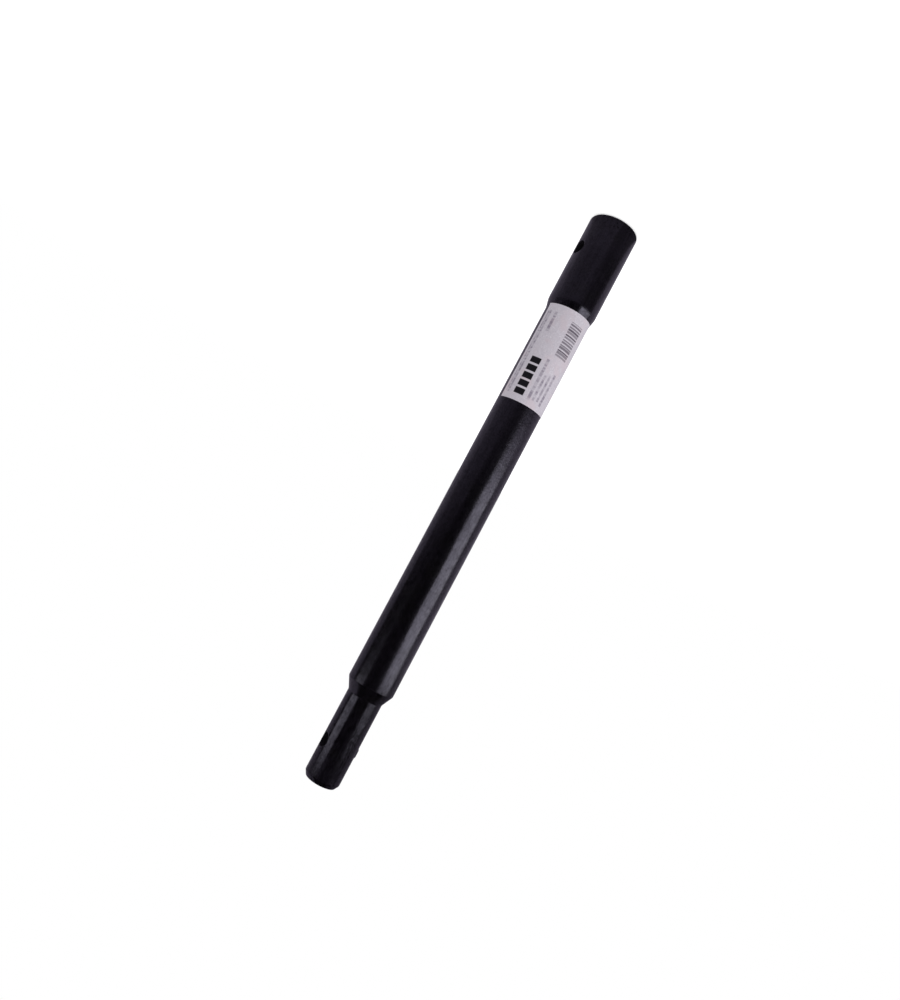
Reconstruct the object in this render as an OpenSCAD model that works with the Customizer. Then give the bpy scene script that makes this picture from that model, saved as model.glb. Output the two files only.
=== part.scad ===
// Extension rod for an earth auger: a socket at one end, a spigot at the other.
// The rod stands on the socket's rim with its axis along Z. The drive pin holes lie along X.

/* [Tube] */
// Total length from the rim of the socket to the tip of the spigot
total_length = 344; // [260:1:600]
// Outside diameter of the plain tube between the two ends
tube_diameter = 26.4; // [24:0.1:28]
// Wall of the plain tube
tube_wall = 5; // [3:0.1:6]

/* [Socket end] */
// Radial clearance between the socket and a spigot that goes into it
socket_clearance = 0.2; // [0.1:0.05:0.4]
// Wall of the swollen collar round the socket
collar_wall = 4.3; // [3.6:0.1:6]
// Length of the collar at its full diameter
collar_length = 54.5; // [45:0.5:80]
// Length of the outer taper from the collar down to the plain tube
collar_taper_length = 5.4; // [4:0.1:15]
// Radius of the two soft bends of the collar's taper
collar_bend_radius = 10; // [4:1:14]
// Depth of the socket at its full bore
socket_depth = 50; // [40:1:70]
// Length of the cone that narrows the socket to the bore of the tube
socket_floor_length = 8; // [3:0.5:15]
// Radius of the rounded outer edge of the rim
rim_radius = 2.6; // [0.5:0.1:3]
// Width of the lead-in chamfer round the mouth of the socket
socket_lead_in = 0.7; // [0.2:0.1:1]

/* [Spigot end] */
// Diameter of the spigot, which is the drive size of the auger
spigot_diameter = 20; // [16:0.5:24]
// Length of the spigot from its root to its tip
spigot_length = 49; // [40:1:80]
// Small bore that forming the tube leaves through the spigot
spigot_bore = 4; // [2:0.5:8]
// Length of the conical shoulder between the tube and the spigot
shoulder_length = 6.4; // [4:0.1:15]
// Radius of the two bends of the shoulder
shoulder_bend_radius = 1.5; // [0.5:0.1:3]
// Length of the lead-in taper round the tip of the spigot
tip_length = 2.5; // [1:0.1:4]
// Angle of that lead-in taper from the axis of the rod
tip_angle = 30; // [15:1:45]
// Width of the chamfer round the mouth of the spigot's bore
tip_bore_chamfer = 0.8; // [0.2:0.1:1.5]

/* [Drive pin holes] */
// Diameter of the two cross holes, for 8 mm drive pins
pin_hole_diameter = 8.2; // [6:0.1:10.5]
// Height of the socket's pin hole above the rim
socket_hole_height = 22.2; // [12:0.1:40]
// Distance of the spigot's pin hole below the tip
spigot_hole_distance = 20.6; // [12:0.1:30]

/* [Label] */
// Length of the label along the rod
label_length = 59.4; // [20:0.1:110]
// Width of the label, measured round the tube
label_width = 40; // [15:1:70]
// Thickness of the label's film
label_thickness = 0.12; // [0.08:0.01:0.3]
// Thickness of the adhesive between the tube and the film
adhesive_thickness = 0.03; // [0.02:0.01:0.1]
// Length by which the label laps on to the bend at the foot of the collar's taper
label_lap = 2.4; // [0:0.1:2.5]
// Direction that the middle of the label faces, from the axis of the pin holes
label_direction = -90; // [-180:5:180]

/* [Hidden] */
$fn = 96;

// Extra length by which a cutting tool runs past the surface it leaves
overrun = 1;

// Radii of the rod, from the socket to the spigot
socket_radius = spigot_diameter / 2 + socket_clearance;
collar_radius = socket_radius + collar_wall;
tube_radius = tube_diameter / 2;
tube_bore_radius = tube_radius - tube_wall;
spigot_radius = spigot_diameter / 2;
spigot_bore_radius = spigot_bore / 2;
tip_radius = spigot_radius - tip_length * tan(tip_angle);

// Heights at which the outside changes its shape
taper_end = collar_length + collar_taper_length;
spigot_root = total_length - spigot_length;
shoulder_start = spigot_root - shoulder_length;

// Height at which the bend at the foot of the collar's taper meets the straight tube
taper_angle = atan((collar_radius - tube_radius) / collar_taper_length);
bend_end = taper_end + collar_bend_radius * tan(taper_angle / 2);

// The label's inner radius, its lower edge and the angle that it wraps
label_radius = tube_radius + adhesive_thickness;
label_start = bend_end - label_lap;
label_wrap = label_width / label_radius * 180 / PI;

// Corners of the outer outline from the rim to the tip, as [radius, height, rounding]
outer_corners = [
    [0, 0, 0],
    [collar_radius, 0, rim_radius],
    [collar_radius, collar_length, collar_bend_radius],
    [tube_radius, taper_end, collar_bend_radius],
    [tube_radius, shoulder_start, shoulder_bend_radius],
    [spigot_radius, spigot_root, shoulder_bend_radius],
    [spigot_radius, total_length - tip_length, 0],
    [tip_radius, total_length, 0],
    [0, total_length, 0]
];

// Largest angle that one step of a rounded corner turns through
round_step = 6;

// Direction of a vector, with a length of one
function unit(vector) = vector / norm(vector);

// Point of the plane at which a corner lies
function place(corner) = [corner[0], corner[1]];

// Points on the arc that rounds a corner between the points before and after it
function arc_points(before, corner, after, radius) =
    let (
        to_before = unit(before - corner),
        to_after = unit(after - corner),
        half_angle = acos(to_before * to_after) / 2,
        tangent_length = radius / tan(half_angle),
        centre = corner + unit(to_before + to_after) * radius / sin(half_angle),
        first = corner + to_before * tangent_length - centre,
        last = corner + to_after * tangent_length - centre,
        steps = ceil((180 - 2 * half_angle) / round_step)
    )
    [for (step = [0 : steps]) centre + radius * unit(first + (last - first) * step / steps)];

// Points of an outline whose corners are rounded as they say
function rounded_outline(corners) = [
    for (i = [0 : len(corners) - 1])
        let (corner = corners[i])
            each corner[2] == 0
                ? [place(corner)]
                : arc_points(place(corners[i - 1]), place(corner), place(corners[i + 1]), corner[2])
];

// Half of the hollow inside the rod, from the socket's mouth to the spigot's tip
module hollow_outline() {
    polygon([
        [0, -overrun],
        [socket_radius + socket_lead_in + overrun, -overrun],
        [socket_radius, socket_lead_in],
        [socket_radius, socket_depth],
        [tube_bore_radius, socket_depth + socket_floor_length],
        [tube_bore_radius, shoulder_start],
        [spigot_bore_radius, spigot_root],
        [spigot_bore_radius, total_length - tip_bore_chamfer],
        [spigot_bore_radius + tip_bore_chamfer + overrun, total_length + overrun],
        [0, total_length + overrun]
    ]);
}

// Cross hole through both walls at a height, along X
module pin_hole(height) {
    hole_length = 2 * (max(collar_radius, spigot_radius) + overrun);
    translate([0, 0, height])
        rotate([0, 90, 0])
            cylinder(d = pin_hole_diameter, h = hole_length, center = true);
}

// The rod: one length of heavy-wall tube with its ends formed, bored and drilled
module extension_rod() {
    color([0.07, 0.07, 0.08])
        difference() {
            rotate_extrude()
                difference() {
                    polygon(rounded_outline(outer_corners));
                    hollow_outline();
                }
            pin_hole(socket_hole_height);
            pin_hole(total_length - spigot_hole_distance);
        }
}

// Section of the label: straight up the tube, and curved where it laps on to the bend
module label_section() {
    inner_bend = collar_bend_radius - adhesive_thickness;
    outer_bend = inner_bend - label_thickness;
    translate([label_radius, bend_end])
        square([label_thickness, label_length - label_lap]);
    intersection() {
        translate([tube_radius + collar_bend_radius, bend_end])
            difference() {
                circle(r = inner_bend);
                circle(r = outer_bend);
            }
        translate([tube_radius, label_start])
            square([outer_bend, label_lap]);
    }
}

// The self-adhesive label, wrapped part of the way round the tube above the collar
module label() {
    color([0.75, 0.72, 0.75])
        rotate([0, 0, label_direction - label_wrap / 2])
            rotate_extrude(angle = label_wrap)
                label_section();
}

extension_rod();
label();
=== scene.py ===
# %% [markdown]
# # Auger extension rod
# A steel rod that lengthens a hand-held earth auger: a socket at one end, a spigot at the other,
# a cross hole through each end, and a label wrapped part of the way round the tube.
# The CAD model gives the frame, and this lesson gives it its looks: a finely modelled rod under
# satin black paint, a label of printed film, a camera, soft lamps and a pale floor.

# %% Load the frame
import math

import bpy
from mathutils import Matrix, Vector


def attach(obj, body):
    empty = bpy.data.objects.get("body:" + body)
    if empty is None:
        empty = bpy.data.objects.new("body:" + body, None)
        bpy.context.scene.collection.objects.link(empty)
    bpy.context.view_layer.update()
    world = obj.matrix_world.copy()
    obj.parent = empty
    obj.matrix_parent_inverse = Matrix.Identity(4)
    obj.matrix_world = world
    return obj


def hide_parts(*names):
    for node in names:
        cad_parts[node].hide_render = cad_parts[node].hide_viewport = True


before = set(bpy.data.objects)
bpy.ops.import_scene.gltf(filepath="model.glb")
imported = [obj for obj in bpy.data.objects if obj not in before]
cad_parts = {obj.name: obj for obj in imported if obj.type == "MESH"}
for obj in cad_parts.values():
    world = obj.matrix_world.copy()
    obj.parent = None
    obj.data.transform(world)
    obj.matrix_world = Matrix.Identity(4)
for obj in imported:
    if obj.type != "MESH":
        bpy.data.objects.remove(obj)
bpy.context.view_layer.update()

print("the frame holds", ", ".join(sorted(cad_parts)))

# %% [markdown]
# ## The sizes
# These are the sizes of the CAD source, written in millimetres, and MM turns them into metres.
# The rod stands on the rim of its socket, so a height is a distance from that rim.

# %% The rod's own sizes
MM = 0.001
total_length = 344 * MM
tube_radius = 13.2 * MM
tube_bore_radius = 8.2 * MM
collar_radius = 14.5 * MM
collar_length = 54.5 * MM
taper_end = 59.9 * MM
collar_bend_radius = 10 * MM
rim_radius = 2.6 * MM
socket_radius = 10.2 * MM
socket_depth = 50 * MM
socket_floor_end = 58 * MM
socket_lead_in = 0.7 * MM
shoulder_start = 288.6 * MM
spigot_root = 295 * MM
shoulder_bend_radius = 1.5 * MM
spigot_radius = 10 * MM
spigot_bore_radius = 2 * MM
tip_length = 2.5 * MM
tip_start = total_length - tip_length
tip_angle = math.radians(30)
tip_radius = spigot_radius - tip_length * math.tan(tip_angle)
tip_bore_chamfer = 0.8 * MM
pin_hole_radius = 4.1 * MM
socket_hole_height = 22.2 * MM
spigot_hole_height = 323.4 * MM
print("the wall of the tube is", round((tube_radius - tube_bore_radius) / MM, 2), "mm")

# %% [markdown]
# ## Small helpers for modelling by hand
# An operator acts on whatever is selected, so each piece starts with an empty selection, and
# vertices are picked by where they are. These few helpers keep the steps below short.

# %% Selecting
def start_clean():
    """Leaves nothing selected, so that the next operator touches only what it makes."""
    bpy.ops.object.select_all(action="DESELECT")


def select_only(piece):
    """Makes one object the selected and active one."""
    start_clean()
    piece.select_set(True)
    bpy.context.view_layer.objects.active = piece


def pick_vertices(piece, wanted):
    """In edit mode, selects the vertices that pass the test."""
    bpy.ops.mesh.select_mode(type="VERT")
    bpy.ops.mesh.select_all(action="DESELECT")
    bpy.ops.object.mode_set(mode="OBJECT")
    for vertex in piece.data.vertices:
        vertex.select = wanted(vertex)
    bpy.ops.object.mode_set(mode="EDIT")


# %% Shaping
def put_place_in_mesh(piece):
    """Moves the object's place, turn and scale into its mesh, as a CAD node has them."""
    select_only(piece)
    bpy.ops.object.transform_apply(location=True, rotation=True, scale=True)


def apply_modifier(piece, kind, **settings):
    """Adds one modifier with its settings and applies it at once."""
    select_only(piece)
    modifier = piece.modifiers.new(kind.title(), kind)
    for name, value in settings.items():
        setattr(modifier, name, value)
    bpy.ops.object.modifier_apply(modifier=modifier.name)


def extrude_by(move):
    """In edit mode, extrudes what is selected and moves the new part."""
    bpy.ops.mesh.extrude_region_move(TRANSFORM_OT_translate={"value": move})


# %% [markdown]
# ## The outline of the rod
# The real rod is a piece of heavy tube: one end is swollen over a mandrel, the other is pressed
# down to the spigot, so every section is round and the bends between them are soft. Such a form
# can be built up ring by ring, or drawn once as half a section and spun. Spinning is chosen here,
# because one outline then holds every bend, inside and outside, and can be checked by eye.

# %% Rounded corners and straight parts of the outline
def rounded(before, corner, after, radius, steps):
    """Points on the arc that rounds a corner of the outline."""
    corner = Vector(corner)
    to_before = (Vector(before) - corner).normalized()
    to_after = (Vector(after) - corner).normalized()
    half_angle = to_before.angle(to_after) / 2
    centre = corner + (to_before + to_after).normalized() * radius / math.sin(half_angle)
    tangent_length = radius / math.tan(half_angle)
    first = corner + to_before * tangent_length - centre
    last = corner + to_after * tangent_length - centre
    points = []
    for step in range(steps + 1):
        direction = first.lerp(last, step / steps).normalized()
        points.append(centre + direction * radius)
    return points


def stretch(start, end, gap):
    """Points along a straight part of the outline, no further apart than the gap."""
    count = max(1, math.ceil((end - start).length / gap))
    return [start.lerp(end, number / count) for number in range(count + 1)]


# %% The outside, from the rim to the tip
# The two edges of the tip are sharp in the CAD, and the coat of paint softens them
tip_bend_radius = 1.2 * MM
tip_edge_radius = 0.5 * MM
# Each corner has its radius and height, the radius of its rounding, and the steps of that arc
outer_corners = [
    ((socket_radius + socket_lead_in, 0), 0, 0),
    ((collar_radius, 0), rim_radius, 12),
    ((collar_radius, collar_length), collar_bend_radius, 6),
    ((tube_radius, taper_end), collar_bend_radius, 6),
    ((tube_radius, shoulder_start), shoulder_bend_radius, 5),
    ((spigot_radius, spigot_root), shoulder_bend_radius, 5),
    ((spigot_radius, tip_start), tip_bend_radius, 5),
    ((tip_radius, total_length), tip_edge_radius, 4),
    ((spigot_bore_radius + tip_bore_chamfer, total_length), 0, 0),
]
outside = []
for number, (corner, rounding, steps) in enumerate(outer_corners):
    if rounding:
        before = outer_corners[number - 1][0]
        after = outer_corners[number + 1][0]
        outside += rounded(before, corner, after, rounding, steps)
    else:
        outside.append(Vector(corner))

# %% Extra rings where the cross holes come
longest_gap = 12 * MM
socket_ring_gap = 1 * MM
spigot_ring_gap = 0.4 * MM
ring_reach = 6 * MM


def with_rings(points, hole_height, gap):
    """The same outline with more points on its straight parts beside a cross hole."""
    low = hole_height - ring_reach
    high = hole_height + ring_reach
    made = [points[0]]
    for start, end in zip(points, points[1:]):
        stops = [start]
        for height in (low, high):
            if start.y < height < end.y:
                stops.append(start.lerp(end, (height - start.y) / (end.y - start.y)))
        stops.append(end)
        for lower, upper in zip(stops, stops[1:]):
            beside_hole = low < (lower.y + upper.y) / 2 < high
            made += stretch(lower, upper, gap if beside_hole else longest_gap)[1:]
    return made


outside = with_rings(outside, socket_hole_height, socket_ring_gap)
outside = with_rings(outside, spigot_hole_height, spigot_ring_gap)

# %% The hollow, from the tip back to the socket's mouth
inside = [
    Vector((spigot_bore_radius, total_length - tip_bore_chamfer)),
    Vector((spigot_bore_radius, spigot_root)),
    Vector((tube_bore_radius, shoulder_start)),
    Vector((tube_bore_radius, socket_floor_end)),
    Vector((socket_radius, socket_depth)),
    Vector((socket_radius, socket_lead_in)),
    Vector((socket_radius + socket_lead_in, 0)),
]
outline = outside + inside
print("the outline has", len(outline), "points")

# %% [markdown]
# ## Spinning the rod
# A plane is merged to a single vertex, the vertex is extruded from point to point, and the line
# is spun once round the axis. Doubles on the closing seam are merged before the faces are turned
# outwards.

# %% Draw the outline and spin it
start_clean()
bpy.ops.mesh.primitive_plane_add(size=1 * MM, location=(outline[0].x, 0, outline[0].y))
rod = bpy.context.object
rod.name = "painted_rod"
put_place_in_mesh(rod)
bpy.ops.object.mode_set(mode="EDIT")
bpy.ops.mesh.select_all(action="SELECT")
bpy.ops.mesh.merge(type="CENTER")
for start, end in zip(outline, outline[1:]):
    extrude_by((end.x - start.x, 0, end.y - start.y))

round_steps = 240
merge_distance = 0.001 * MM
bpy.ops.mesh.select_all(action="SELECT")
bpy.ops.mesh.spin(steps=round_steps, angle=math.tau, center=(0, 0, 0), axis=(0, 0, 1))
bpy.ops.mesh.select_all(action="SELECT")
bpy.ops.mesh.remove_doubles(threshold=merge_distance)
bpy.ops.mesh.normals_make_consistent(inside=False)
bpy.ops.object.mode_set(mode="OBJECT")
print("the spun rod has", len(rod.data.polygons), "faces")

# %% [markdown]
# ## The cross holes
# A drilled hole in a tube has a saddle-shaped mouth, and its edge is broken a little with a
# file. A bevel on a cut mesh tears where the cut runs along the rod's own edges, so the rounding
# is built into the cutter instead: a circle is projected on to the rod, and its loop is extruded
# inwards through a quarter of a round to the width of the drill.

# %% One cutter for one mouth
circle_points = 96
circle_gap = 3 * MM
past_surface = 2 * MM
past_axis = 1 * MM


def mouth_cutter(name, side, body_radius, height, rounding):
    """A plug that cuts half of a cross hole and rounds the edge of its mouth."""
    width = pin_hole_radius + rounding
    start_clean()
    bpy.ops.mesh.primitive_circle_add(
        vertices=circle_points,
        radius=width,
        location=(side * (body_radius + circle_gap), 0, height),
        rotation=(0, math.pi / 2, 0),
    )
    cutter = bpy.context.object
    cutter.name = name
    put_place_in_mesh(cutter)
    apply_modifier(
        cutter,
        "SHRINKWRAP",
        target=rod,
        wrap_method="PROJECT",
        use_project_x=True,
        use_project_y=False,
        use_project_z=False,
        use_negative_direction=side > 0,
        use_positive_direction=side < 0,
    )
    bpy.ops.object.mode_set(mode="EDIT")
    bpy.ops.mesh.select_all(action="SELECT")
    depth = 0
    for angle in (30, 60, 90):
        next_width = pin_hole_radius + rounding * (1 - math.sin(math.radians(angle)))
        next_depth = rounding * (1 - math.cos(math.radians(angle)))
        extrude_by((-side * (next_depth - depth), 0, 0))
        scale = next_width / width
        bpy.ops.transform.resize(value=(1, scale, scale), center_override=(0, 0, height))
        width = next_width
        depth = next_depth
    extrude_by((-side * past_axis, 0, 0))
    bpy.ops.transform.resize(value=(0, 1, 1), center_override=(-side * past_axis, 0, height))
    bpy.ops.mesh.edge_face_add()
    pick_vertices(cutter, lambda vertex: vertex.index < circle_points)
    extrude_by((side * past_surface, 0, 0))
    bpy.ops.mesh.edge_face_add()
    bpy.ops.mesh.select_all(action="SELECT")
    bpy.ops.mesh.normals_make_consistent(inside=False)
    bpy.ops.object.mode_set(mode="OBJECT")
    return cutter


# %% Cut both holes
socket_rounding = 0.6 * MM
near_rounding = 0.4 * MM
far_rounding = 0.12 * MM
cutters = [
    mouth_cutter("socket_near", 1, collar_radius, socket_hole_height, socket_rounding),
    mouth_cutter("socket_far", -1, collar_radius, socket_hole_height, socket_rounding),
    mouth_cutter("spigot_near", 1, spigot_radius, spigot_hole_height, near_rounding),
    mouth_cutter("spigot_far", -1, spigot_radius, spigot_hole_height, far_rounding),
]
for cutter in cutters:
    apply_modifier(rod, "BOOLEAN", operation="DIFFERENCE", solver="EXACT", object=cutter)
for cutter in cutters:
    bpy.data.objects.remove(cutter)
print("the drilled rod has", len(rod.data.polygons), "faces")

# %% [markdown]
# ## The burr where the drill came out
# On the far side of the spigot the photograph shows a small raised lip at the mouth of the hole,
# as a drill leaves where it breaks through. It is pulled out of the surface with proportional
# editing, which takes the neighbouring rings along in a smooth slope.

# %% Where the lip lies
edge_reach = 0.2 * MM
skin_reach = 0.05 * MM


def on_far_mouth(vertex):
    """Whether a vertex lies on the edge of the far mouth of the spigot's hole."""
    place = vertex.co
    from_hole_axis = math.hypot(place.y, place.z - spigot_hole_height)
    at_edge = abs(from_hole_axis - pin_hole_radius) < edge_reach
    on_skin = math.hypot(place.x, place.y) > spigot_radius - skin_reach
    return place.x < 0 and at_edge and on_skin


def on_lip(vertex):
    """Whether a vertex lies on the part of that edge where the burr stands highest."""
    rise = vertex.co.z - spigot_hole_height
    on_one_side = vertex.co.y < -1 * MM
    return on_far_mouth(vertex) and on_one_side and -2.2 * MM < rise < 1.4 * MM


# %% Pull the lip out
# Which vertices are pulled, how far, and the reach of the slope round them
pulls = (
    (on_far_mouth, (-0.08 * MM, 0, 0), 0.9 * MM),
    (on_lip, (-0.26 * MM, -0.30 * MM, 0), 1.1 * MM),
)
select_only(rod)
bpy.ops.object.mode_set(mode="EDIT")
for wanted, move, slope in pulls:
    pick_vertices(rod, wanted)
    bpy.ops.transform.translate(
        value=move,
        use_proportional_edit=True,
        use_proportional_connected=True,
        proportional_edit_falloff="SMOOTH",
        proportional_size=slope,
    )
bpy.ops.object.mode_set(mode="OBJECT")
places = [vertex.co for vertex in rod.data.vertices]
lip_radius = max(place.xy.length for place in places if place.z > spigot_hole_height - ring_reach)
print("the lip stands out by", round((lip_radius - spigot_radius) / MM, 2), "mm")

# %% Shade the rod and give it to the frame
select_only(rod)
bpy.ops.object.shade_smooth_by_angle(angle=math.radians(28))
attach(rod, "root")
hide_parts("extension_rod")
print("the rod has", len(rod.data.vertices), "vertices")

# %% [markdown]
# ## The label
# The real label is a thin printed film, stuck round a little less than half of the tube, with
# its lower edge lapping on to the foot of the collar's taper. It could be cut from a cylinder,
# but a flat sheet keeps its own flat pattern of print, so a grid is bent into an arc and then
# pressed against the rod with a shrinkwrap, as a hand would smooth it down.

# %% The label's own sizes
label_length = 59.4 * MM
label_width = 40 * MM
label_start = 58.69 * MM
label_thickness = 0.12 * MM
adhesive_thickness = 0.03 * MM
label_direction = math.radians(-90)
label_radius = tube_radius + adhesive_thickness
label_wrap = label_width / label_radius

# %% A flat sheet, bent and pressed on
grid_columns = 120
grid_rows = 90
start_clean()
bpy.ops.mesh.primitive_grid_add(
    x_subdivisions=grid_columns,
    y_subdivisions=grid_rows,
    size=1,
    calc_uvs=True,
    rotation=(math.pi / 2, 0, 0),
)
label = bpy.context.object
label.name = "wrapped_label"
label.scale = (label_width, label_length, 1)
put_place_in_mesh(label)
apply_modifier(
    label,
    "SIMPLE_DEFORM",
    deform_method="BEND",
    deform_axis="Z",
    angle=label_wrap,
)
label.location = (0, -label_radius, label_start + label_length / 2)
put_place_in_mesh(label)
label.rotation_euler = (0, 0, label_direction + math.pi / 2)
put_place_in_mesh(label)
apply_modifier(
    label,
    "SHRINKWRAP",
    target=rod,
    wrap_method="NEAREST_SURFACEPOINT",
    wrap_mode="OUTSIDE_SURFACE",
    offset=adhesive_thickness,
)
print("the sheet has", len(label.data.polygons), "faces")

# %% [markdown]
# ## Creases in the label
# A film never lies down perfectly on a curve that also slopes: near the taper it has a few short
# creases, and one more at its other end. Each one is a row of vertices pulled off the rod with
# proportional editing, before the film gets its thickness.

# %% One crease
left_azimuth = label_direction + label_wrap / 2
crease_half_width = 0.34 * MM


def place_on_label(place):
    """Distances of a point of the film from its left and lower edges."""
    azimuth = math.atan2(place.y, place.x)
    return Vector(((left_azimuth - azimuth) * label_radius, place.z - label_start))


def crease(from_across, from_along, to_across, to_along, lift, slope):
    """Lifts the film along a short line between two places on the label."""
    start = Vector((from_across, from_along))
    line = Vector((to_across, to_along)) - start

    def near_line(vertex):
        """Whether a vertex lies on the ridge of the crease."""
        offset = place_on_label(vertex.co) - start
        share = min(max(offset.dot(line) / line.length_squared, 0), 1)
        return (offset - line * share).length < crease_half_width

    pick_vertices(label, near_line)
    azimuth = left_azimuth - (start + line / 2).x / label_radius
    bpy.ops.transform.translate(
        value=(lift * math.cos(azimuth), lift * math.sin(azimuth), 0),
        use_proportional_edit=True,
        proportional_edit_falloff="SMOOTH",
        proportional_size=slope,
    )


# %% Pull a few creases
# In millimetres: start and end, each across and along the label, then the lift and the slope
creases = (
    (2.5, 5.2, 8.5, 2.2, 0.10, 0.7),
    (6.0, 6.5, 11.0, 3.8, 0.07, 0.6),
    (11.5, 2.0, 14.5, 1.0, 0.06, 0.6),
    (24.0, 0.8, 28.0, 3.4, 0.08, 0.7),
    (13.0, 57.0, 19.0, 59.0, 0.05, 0.8),
)
select_only(label)
bpy.ops.object.mode_set(mode="EDIT")
for crease_sizes in creases:
    crease(*[size * MM for size in crease_sizes])
bpy.ops.object.mode_set(mode="OBJECT")
print("the film has", len(creases), "creases")

# %% Give the film its thickness and hand it to the frame
apply_modifier(label, "SOLIDIFY", thickness=label_thickness, offset=1, use_even_offset=True)
select_only(label)
bpy.ops.object.shade_smooth_by_angle(angle=math.radians(40))
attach(label, "root")
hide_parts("label")
label_reach = max(vertex.co.xy.length for vertex in label.data.vertices)
print("the label reaches a radius of", round(label_reach / MM, 3), "mm")

# %% [markdown]
# ## Sockets that can be added and multiplied
# A finish is a sum of patterns. Wire wraps an output of a node so that patterns can be written
# as sums and products, and Finish adds every other node with one method. The tubes, films, cards
# and the world below all use these two.

# %% Wire
class Wire:
    """An output of a node on which arithmetic makes Math nodes."""

    def __init__(self, finish, socket):
        self.finish = finish
        self.socket = socket

    def calculate(self, operation, first, second):
        """One Math node with its two inputs."""
        settings = {"operation": operation}
        return self.finish.add("ShaderNodeMath", settings, {0: first, 1: second})

    def __add__(self, other):
        return self.calculate("ADD", self, other)

    def __radd__(self, other):
        return self.calculate("ADD", other, self)

    def __sub__(self, other):
        return self.calculate("SUBTRACT", self, other)

    def __rsub__(self, other):
        return self.calculate("SUBTRACT", other, self)

    def __mul__(self, other):
        return self.calculate("MULTIPLY", self, other)

    def __rmul__(self, other):
        return self.calculate("MULTIPLY", other, self)

    def over(self, limit):
        """1 where the value is above the limit, else 0."""
        return self.calculate("GREATER_THAN", self, limit)

    def larger(self, other):
        """The larger of two values."""
        return self.calculate("MAXIMUM", self, other)

    def floor(self):
        """The value cut down to a whole number."""
        return self.calculate("FLOOR", self, 0.0)


# %% Finish
relief_height = 0.012 * MM


class Finish:
    """The nodes of a material, or of the world, while they are being made."""

    def __init__(self, owner):
        owner.use_nodes = True
        self.owner = owner
        self.tree = owner.node_tree
        self.tree.nodes.clear()

    def add(self, kind, settings, inputs, output=0):
        """Adds a node: its settings first, then its inputs, and gives back one output."""
        node = self.tree.nodes.new(kind)
        for name, value in settings.items():
            setattr(node, name, value)
        for name, value in inputs.items():
            if isinstance(value, Wire):
                self.tree.links.new(value.socket, node.inputs[name])
            else:
                node.inputs[name].default_value = value
        if len(node.outputs) == 0:
            return None
        return Wire(self, node.outputs[output])

    def place(self):
        """Object coordinates, counted in millimetres."""
        inputs = {0: self.add("ShaderNodeTexCoord", {}, {}, "Object"), "Scale": 1 / MM}
        return self.add("ShaderNodeVectorMath", {"operation": "SCALE"}, inputs)

    def rise(self, value, low, high):
        """A smooth rise from 0 to 1 as the value goes from low to high."""
        settings = {"interpolation_type": "SMOOTHSTEP"}
        inputs = {"Value": value, "From Min": low, "From Max": high}
        return self.add("ShaderNodeMapRange", settings, inputs)

    def noise(self, place, scale, detail=2.0, roughness=0.5):
        """A soft cloudy pattern between 0 and 1."""
        inputs = {"Vector": place, "Scale": scale, "Detail": detail, "Roughness": roughness}
        return self.add("ShaderNodeTexNoise", {}, inputs)

    def stretched(self, place, share):
        """The same place with its height cut to a share, which draws a pattern out upwards."""
        inputs = {"Vector": place, "Scale": (1, 1, share)}
        return self.add("ShaderNodeMapping", {"vector_type": "POINT"}, inputs)

    def blend(self, factor, first, second):
        """A colour between two others."""
        settings = {"data_type": "RGBA"}
        return self.add("ShaderNodeMix", settings, {0: factor, 6: first, 7: second}, 2)

    def bump(self, relief):
        """The normal of a relief, which is counted in units of relief_height."""
        inputs = {"Strength": 1.0, "Distance": relief_height, "Height": relief}
        return self.add("ShaderNodeBump", {}, inputs)

    def close(self, shader, output_kind="ShaderNodeOutputMaterial"):
        """Links the shader to the output and gives back the finished material or world."""
        self.add(output_kind, {}, {"Surface": shader})
        return self.owner


# %% [markdown]
# ## Satin black paint on drawn tube
# The paint is a thin dip or spray coat on drawn steel. Up close it is not one black: it has a
# soft mottle a few millimetres wide, fine lines along the tube from the drawing die and a slight
# orange peel. It is pitted near the rim and the tip, chipped a little at the rim and round the
# holes, and on the spigot it is glossier and scuffed, and the scuffs' paler colour is also a
# painted sheen there. Inside the bores and the drilled holes there is only a dull brown scale.
# A painted picture could show all this, but patterns that read Object coordinates in
# millimetres have no seam, and nothing slides when the camera moves.

# %% Where on the rod a point lies
paint = Finish(bpy.data.materials.new("satin_black_paint"))
place = paint.place()
across_x, across_y, height = [
    paint.add("ShaderNodeSeparateXYZ", {}, {0: place}, axis) for axis in "XYZ"
]


def from_axis(sideways, upwards):
    """Distance of a point from an axis, out of its two distances across that axis."""
    offset = paint.add("ShaderNodeCombineXYZ", {}, {"X": sideways, "Y": upwards})
    return paint.add("ShaderNodeVectorMath", {"operation": "LENGTH"}, {0: offset}, "Value")


radius = from_axis(across_x, across_y)
from_socket_hole = from_axis(across_y, height - socket_hole_height / MM)
from_spigot_hole = from_axis(across_y, height - spigot_hole_height / MM)

# %% Walls inside the rod
socket_wall = socket_radius / MM
bore_mouth = (spigot_bore_radius + tip_bore_chamfer) / MM
hole_wall = pin_hole_radius / MM
below_spigot = 1 - paint.rise(height, shoulder_start / MM, spigot_root / MM)
hollow = (1 - paint.rise(radius, socket_wall + 0.05, socket_wall + 0.2)) * below_spigot
bore = 1 - paint.rise(radius, bore_mouth + 0.02, bore_mouth + 0.12)
socket_drilled = 1 - paint.rise(from_socket_hole, hole_wall + 0.02, hole_wall + 0.2)
spigot_drilled = 1 - paint.rise(from_spigot_hole, hole_wall + 0.02, hole_wall + 0.2)
interior = hollow.larger(bore).larger(socket_drilled).larger(spigot_drilled)
exterior = 1 - interior

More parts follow.
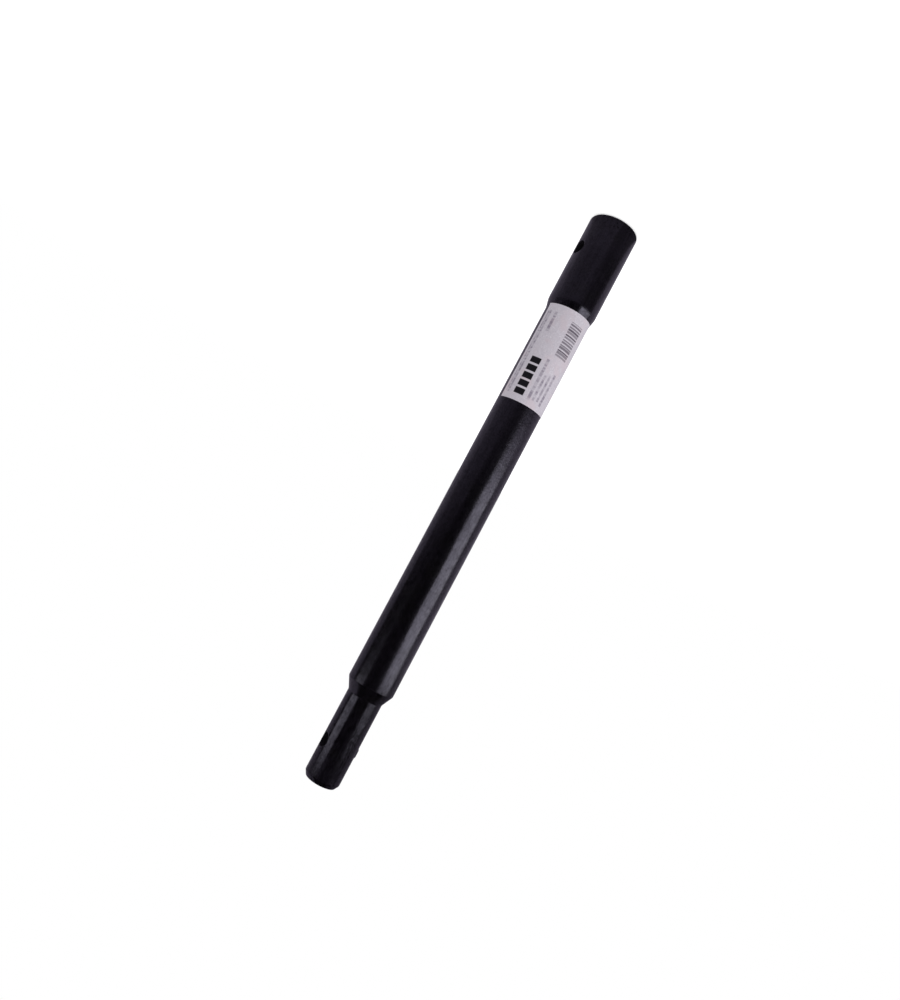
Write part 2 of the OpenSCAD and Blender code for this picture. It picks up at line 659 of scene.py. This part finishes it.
# %% Patterns of the paint
mottle = paint.noise(place, 0.33, 4.0, 0.6)
clouds = paint.noise(place, 0.07)
peel = paint.noise(place, 1.3)
grain = paint.noise(place, 4.5, 2.0, 0.7)
speckle = paint.noise(place, 0.9, 3.0, 0.7)
lines = paint.noise(paint.stretched(place, 0.035), 1.4, 3.0, 0.6)
long_streaks = paint.noise(paint.stretched(place, 0.012), 0.45)
short_streaks = paint.noise(paint.stretched(place, 0.3), 0.9, 4.0, 0.7)

# %% Places that wear
tip = total_length / MM
root = spigot_root / MM
rim_edge = (1 - paint.rise(height, 0.3, rim_radius / MM)) * paint.rise(radius, 11.0, 13.2)
rim_zone = (1 - paint.rise(height, 4, 10)) * exterior
tip_zone = paint.rise(height, tip - 6, tip - 2) * exterior
spigot_zone = paint.rise(height, root - 1, root + 4) * exterior
near_socket_hole = 1 - paint.rise(from_socket_hole, hole_wall + 0.1, hole_wall + 1.1)
near_spigot_hole = 1 - paint.rise(from_spigot_hole, hole_wall + 0.1, hole_wall + 1.1)
rubbed = rim_edge.larger(near_socket_hole * 0.4).larger(near_spigot_hole * 0.5)
chips = paint.rise(grain * 0.45 + mottle * 0.55 + rubbed * 0.18, 0.70, 0.78) * rubbed
pits = paint.rise(speckle, 0.60, 0.65) * rim_zone.larger(tip_zone)
# The scuffs are rub marks, strongest on the spigot, and their paler colour there is also a
# painted sheen
scuffs_and_sheen = paint.rise(short_streaks, 0.5, 0.66) * (0.2 + spigot_zone * 0.6)

# %% Colour of the paint
patches = paint.rise(mottle, 0.36, 0.64)
violet_black = paint.blend(patches, (0.0009, 0.0005, 0.0011, 1), (0.0032, 0.0022, 0.0038, 1))
warm_black = paint.blend(patches, (0.0012, 0.0009, 0.0008, 1), (0.0030, 0.0026, 0.0022, 1))
black = paint.blend(paint.rise(clouds, 0.5, 0.62) * 0.7, violet_black, warm_black)
# The scuffs' paler violet colour is partly rub marks and partly a painted sheen on the spigot
black_with_scuffs_and_sheen = paint.blend(scuffs_and_sheen * 0.2, black, (0.022, 0.020, 0.026, 1))
steel = paint.blend(chips * 0.5, black_with_scuffs_and_sheen, (0.10, 0.095, 0.09, 1))
scale_brown = paint.blend(mottle, (0.0055, 0.0043, 0.0053, 1), (0.0115, 0.0095, 0.0108, 1))
painted = paint.blend(interior, steel, scale_brown)

# %% [markdown]
# ## Gloss, flat spots and relief of the paint
# A coat like this mirrors unevenly: here and there a spot lies flat and mirrors almost nothing.
# The specular level can't vary over a surface that is to be baked, but Metallic can, and a black
# metal mirrors next to nothing, so the flat spots are a little Metallic. The relief holds
# everything that bends a reflection: peel, lines, clouds and mottle, with the pits as hollows.

# %% Gloss, flat spots and relief
gloss = 0.215 + (mottle - 0.5) * 0.16 + (long_streaks - 0.5) * 0.10 + scuffs_and_sheen * 0.07
gloss = gloss + interior * 0.3 + pits * 0.3 - spigot_zone * 0.06
flat_spots = (speckle - 0.5) * 1.3 + (mottle - 0.5) * 0.7 + (lines - 0.5) * 0.8
flat_spots = (flat_spots + 0.18).larger(0) + pits * 0.6
flat_spots = flat_spots + paint.rise(height, tip - 3, tip - 1.4) * 0.35
relief = peel * 1.5 + lines * 1.4 + grain * 0.15 + clouds * 9.0 + mottle * 4.5 - pits * 1.5
relief = relief + scuffs_and_sheen * spigot_zone * 1.2
violet_sheen = (0.84, 0.80, 1.0, 1)
coat_sockets = {
    "Base Color": painted,
    "Roughness": gloss,
    "Metallic": flat_spots,
    "IOR": 1.7,
    "Specular Tint": violet_sheen,
    "Normal": paint.bump(relief),
}
coat = paint.add("ShaderNodeBsdfPrincipled", {}, coat_sockets)
rod.data.materials.append(paint.close(coat))
print("the paint has", len(paint.tree.nodes), "nodes")

# %% [markdown]
# ## Printed film
# The film is a pale lilac grey with a matt face. Its print is generic: plain blocks, a field of
# stripes and rows of short dashes. The pattern follows the sheet, so it reads the label's own
# UV map, counted in millimetres from the left edge and from the edge beside the collar.

# %% Where on the label a point lies
film = Finish(bpy.data.materials.new("printed_film"))
sheet = film.add("ShaderNodeUVMap", {"uv_map": label.data.uv_layers[0].name}, {})
sheet_x = film.add("ShaderNodeSeparateXYZ", {}, {0: sheet}, "X")
sheet_y = film.add("ShaderNodeSeparateXYZ", {}, {0: sheet}, "Y")
across = (1 - sheet_x) * (label_width / MM)
along = sheet_y * (label_length / MM)


def band(value, low, high, soft):
    """1 between two values and 0 outside them, with soft edges."""
    return film.rise(value, low - soft, low + soft) - film.rise(value, high - soft, high + soft)


def field(left, right, low, high, soft=0.12):
    """1 inside a rectangle of the label and 0 outside it."""
    return band(across, left, right, soft) * band(along, low, high, soft)


def random_steps(step, seed):
    """A random level for each step along the label."""
    inputs = {"W": (along * (1 / step)).floor() + seed}
    return film.add("ShaderNodeTexWhiteNoise", {"noise_dimensions": "1D"}, inputs, "Value")


# %% Blocks and stripes
block_length = 3.6
block_starts = (32.6, 37.4, 42.2, 47.0, 51.8)
blocks = sum(field(7.1, 12.9, start, start + block_length) for start in block_starts)

bar_pitch = 1.6
bar_phase = along * (1 / bar_pitch)
bar_start = 0.12 + random_steps(bar_pitch, 5) * 0.42
bars = (bar_phase - bar_phase.floor() - bar_start).over(0)
bar_tone = 0.6 + random_steps(bar_pitch, 11) * 0.4
bar_fade = film.rise(along, 3, 12) * (1 - film.rise(along, 23, 30) * 0.7)
stripes = bars * bar_tone * (0.55 + bar_fade * 0.45) * field(18.0, 26.4, 5.9, 27.1, 0.2)

# %% Rows of dashes
# Each row has its left, right, lower and upper edge on the label, in millimetres
row_places = [
    (1.8, 2.7, 4.6, 55.4),
    (3.1, 4.4, 4.4, 55.9),
    (6.8, 8.5, 4.7, 16.8),
    (15.5, 17.1, 31.0, 56.0),
    (18.3, 19.6, 39.5, 55.2),
    (20.9, 22.2, 38.0, 54.4),
    (23.6, 25.2, 36.4, 56.0),
]
dash_pitch = 0.9
rows = 0
for number, (left, right, low, high) in enumerate(row_places):
    dashes = 0.15 + random_steps(dash_pitch, 31 * number) * 0.85
    rows = dashes * field(left, right, low, high, 0.3) + rows

# %% Colour of the film
film_place = film.place()
fibre = film.noise(film_place, 2.2, 3.0, 0.6)
stain = film.noise(film_place, 0.11)
grit = film.noise(film_place, 1.3, 3.0, 0.8)
dark_grit = film.rise(grit, 0.52, 0.68)
pale_grit = 1 - film.rise(grit, 0.32, 0.46)
film_colour = film.blend(fibre, (0.495, 0.458, 0.517, 1), (0.572, 0.534, 0.597, 1))
gritty = film.blend(dark_grit * 0.45, film_colour, (0.40, 0.38, 0.44, 1))
spotted = film.blend(pale_grit * 0.5, gritty, (0.80, 0.78, 0.84, 1))
tinted = film.blend(film.rise(stain, 0.5, 0.68) * 0.5, spotted, (0.57, 0.48, 0.53, 1))
dashed = film.blend(rows * 0.8, tinted, (0.17, 0.14, 0.20, 1))
striped = film.blend(stripes * 0.95, dashed, (0.05, 0.035, 0.06, 1))
printed = film.blend(blocks, striped, (0.006, 0.005, 0.009, 1))

# %% Gloss and relief of the film
waves = film.noise(film_place, 0.35)
film_gloss = 0.6 + (fibre - 0.5) * 0.12 - blocks * 0.08
film_relief = fibre * 0.4 + waves * 3.0 + blocks * 0.3
film_sockets = {
    "Base Color": printed,
    "Roughness": film_gloss,
    "Specular IOR Level": 0.35,
    "Normal": film.bump(film_relief),
}
film_face = film.add("ShaderNodeBsdfPrincipled", {}, film_sockets)
label.data.materials.append(film.close(film_face))
print("the film has", len(film.tree.nodes), "nodes")

# %% [markdown]
# ## The camera
# The photograph was taken from about 45 cm with a short lens. The camera hangs upside down beside
# the standing rod, so the socket is at the top right of the picture and the spigot at the lower
# left. Its place and turn come from a fit of the rod's outline.

# %% Place the camera
view_azimuth = math.radians(-65.5)
camera_reach = 450.17 * MM
camera_height = 213.83 * MM
camera_x = camera_reach * math.cos(view_azimuth)
camera_y = camera_reach * math.sin(view_azimuth)
turn_about_x = math.radians(-82.9005)
turn_about_y = math.radians(28.1182)
turn_about_z = view_azimuth - math.radians(89.0186)
bpy.ops.object.camera_add()
camera = bpy.context.object
camera.location = (camera_x, camera_y, camera_height)
camera.rotation_euler = (turn_about_x, turn_about_y, turn_about_z)
camera.data.lens = 29.677
camera.data.shift_y = -0.035
camera.data.clip_start = 0.01
bpy.context.scene.camera = camera
print("the camera hangs at", [round(value, 4) for value in camera.location])

# %% [markdown]
# ## Lamps
# Black paint shows little but what it mirrors, so the long highlights on the rod are pictures of
# soft boxes. On the right of the picture stands a wide one for the tube, with a dimmer strip
# above it for the last of the tube before the shoulder and a thin bright strip above that for
# the root of the spigot. One more stands on the left and higher up, for the spigot. Their places
# are worked out from where the highlights lie on the round rod.

# %% Soft boxes
lamp_distance = 1.0
lamp_aim = Vector((0, 0, 0.2))


def soft_box(name, right_angle, height, width, length, power):
    """An area lamp at an angle to the right of the camera, as seen from above the rod."""
    azimuth = view_azimuth - math.radians(right_angle)
    lamp_x = lamp_distance * math.cos(azimuth)
    lamp_y = lamp_distance * math.sin(azimuth)
    spot = Vector((lamp_x, lamp_y, height))
    bpy.ops.object.light_add(type="AREA", location=spot)
    lamp = bpy.context.object
    lamp.name = name
    lamp.data.shape = "RECTANGLE"
    lamp.data.size = width
    lamp.data.size_y = length
    lamp.data.energy = power
    lamp.rotation_euler = (lamp_aim - spot).to_track_quat("-Z", "Y").to_euler()


# Name, degrees to the right of the camera, height, width and length in metres, and power
soft_boxes = (
    ("right_box", 61.8, 0.21, 1.03, 0.38, 3.0),
    ("right_box_top", 67.0, 0.432, 1.0, 0.06, 0.395),
    ("right_box_edge", 67.0, 0.475, 1.0, 0.026, 0.26),
    ("left_box", -59, 0.5425, 0.83, 0.105, 0.374),
)
for box_settings in soft_boxes:
    soft_box(*box_settings)
print("the lamps give", round(sum(row[-1] for row in soft_boxes), 3), "watts together")

# %% [markdown]
# ## Floor, backdrop and dark cards
# The floor is pale and the world behind it is white to the camera, to reflections and through
# glass. A black object on white looks grey all over, so a photographer stands black card round
# it. A dome and a card on the floor do that here. Only reflections see them, and they come in
# several tones: dark in front of the rod, pale behind it, where they brighten its two edges, and
# in between where the photograph's reflections are. The card on the floor has a hole under the
# socket, so the rod stands on the floor itself.

# %% A pale world
def seen_rays(finish):
    """1 for rays of the camera, of reflections and through clear materials, else 0."""
    camera_ray, mirror_ray, clear_ray = [
        finish.add("ShaderNodeLightPath", {}, {}, kind)
        for kind in ("Is Camera Ray", "Is Glossy Ray", "Is Transmission Ray")
    ]
    return camera_ray.larger(mirror_ray).larger(clear_ray)


# The world lights the rod at this level, and is white, a level of 1, to the rays that see it
light_level = 0.80
studio = Finish(bpy.data.worlds.new("studio"))
strength = light_level + seen_rays(studio) * (1 - light_level)
backdrop = studio.add("ShaderNodeBackground", {}, {"Color": (1, 1, 1, 1), "Strength": strength})
bpy.context.scene.world = studio.close(backdrop, "ShaderNodeOutputWorld")

# %% The floor
floor_radius = 1.5
floor_glow = 0.6
start_clean()
bpy.ops.mesh.primitive_circle_add(vertices=96, radius=floor_radius, fill_type="NGON")
floor = bpy.context.object
floor.name = "floor"
pale = Finish(bpy.data.materials.new("pale_floor"))
pale_face = pale.add("ShaderNodeBsdfDiffuse", {}, {"Color": (0.85, 0.85, 0.85, 1)})
pale_glow = pale.add("ShaderNodeEmission", {}, {"Strength": seen_rays(pale) * floor_glow})
pale_sum = pale.add("ShaderNodeAddShader", {}, {0: pale_face, 1: pale_glow})
floor.data.materials.append(pale.close(pale_sum))
print("the floor reaches", floor_radius, "m from the rod")

# %% Cards of several tones
card_tones = (0.02, 0.07, 0.14, 0.22, 0.29, 0.36, 0.44)
cards = []
for tone in card_tones:
    card = Finish(bpy.data.materials.new("card_" + str(tone)))
    violet_grey = (tone, tone * 0.9, tone * 1.08, 1)
    cards.append(card.close(card.add("ShaderNodeBsdfDiffuse", {}, {"Color": violet_grey})))
print("there are", len(cards), "tones of card")


def right_angle_of(place):
    """Degrees to the right of the camera, as seen from above the rod, from -180 to 180."""
    azimuth = math.atan2(place.y, place.x)
    return math.degrees((view_azimuth - azimuth + math.pi) % math.tau - math.pi)


def add_screen(screen, choose_tone):
    """Stages a piece that only reflections see, with a card chosen for each face."""
    screen.visible_camera = False
    screen.visible_diffuse = False
    screen.visible_transmission = False
    screen.visible_shadow = False
    for card in cards:
        screen.data.materials.append(card)
    for face in screen.data.polygons:
        tone = choose_tone(right_angle_of(face.center), face.center)
        face.material_index = card_tones.index(tone)
    print(screen.name, "has", len(screen.data.polygons), "faces")


# %% The dome
dome_radius = 1.3
start_clean()
bpy.ops.mesh.primitive_uv_sphere_add(segments=90, ring_count=36, radius=dome_radius)
dome = bpy.context.object
dome.name = "dark_dome"
bpy.ops.object.mode_set(mode="EDIT")
pick_vertices(dome, lambda vertex: vertex.co.z < -1 * MM)
bpy.ops.mesh.delete(type="VERT")
bpy.ops.object.mode_set(mode="OBJECT")

# %% Tones of the dome
# Behind the rod, each band has the height that it reaches up to, and its tone
right_bands = ((0.40, 0.44), (0.75, 0.22), (1.30, 0.14))
left_bands = ((0.52, 0.36), (0.75, 0.29), (1.30, 0.22))


def dome_tone(turn, place):
    """The tone of one face of the dome: pale behind the rod, dark in front of it."""
    if place.z > 0.75 and -150 < turn < -70:
        return 0.36
    if abs(turn) > 97:
        bands = right_bands if turn > 0 else left_bands
        return next(tone for top, tone in bands if place.z < top)
    if place.z < 0.14 and turn < -25:
        return 0.22
    if 0.62 < place.z < 0.72:
        if turn < -20:
            return 0.22
        return 0.07 if turn < 60 else 0.14
    if place.z < 0.23 and turn < -60:
        return 0.14
    return 0.02


add_screen(dome, dome_tone)

# %% The card on the floor
card_height = 0.3 * MM
ring_radius = 13.4 * MM
start_clean()
bpy.ops.mesh.primitive_circle_add(
    vertices=90, radius=ring_radius, location=(0, 0, card_height)
)
floor_card = bpy.context.object
floor_card.name = "floor_card"
put_place_in_mesh(floor_card)
bpy.ops.object.mode_set(mode="EDIT")
bpy.ops.mesh.select_all(action="SELECT")
for next_radius in (0.03, 0.06, 0.10, 0.20, 0.40, 0.60, 0.80, 1.05, dome_radius):
    extrude_by((0, 0, 0))
    scale = next_radius / ring_radius
    bpy.ops.transform.resize(value=(scale, scale, 1), center_override=(0, 0, 0))
    ring_radius = next_radius
bpy.ops.object.mode_set(mode="OBJECT")


def floor_tone(turn, place):
    """The tone of one face of the floor card, with a dark part to the right in front."""
    reach = place.xy.length
    if abs(turn) > 92:
        return 0.44
    if turn < -60:
        return 0.29
    if reach > 0.6 and turn > 48:
        return 0.36
    if reach < 0.4:
        dark_from = 18
    else:
        dark_from = -20 if reach < 0.9 else -28
    if turn > dark_from + 16:
        return 0.14 if reach < 0.06 else 0.07
    if turn > dark_from:
        return 0.14
    return 0.29 if reach < 0.06 else 0.22


add_screen(floor_card, floor_tone)

# %% [markdown]
# ## Finish
# The picture is shown as it is, with the Standard view transform.

# %% View
bpy.context.scene.view_settings.view_transform = "Standard"
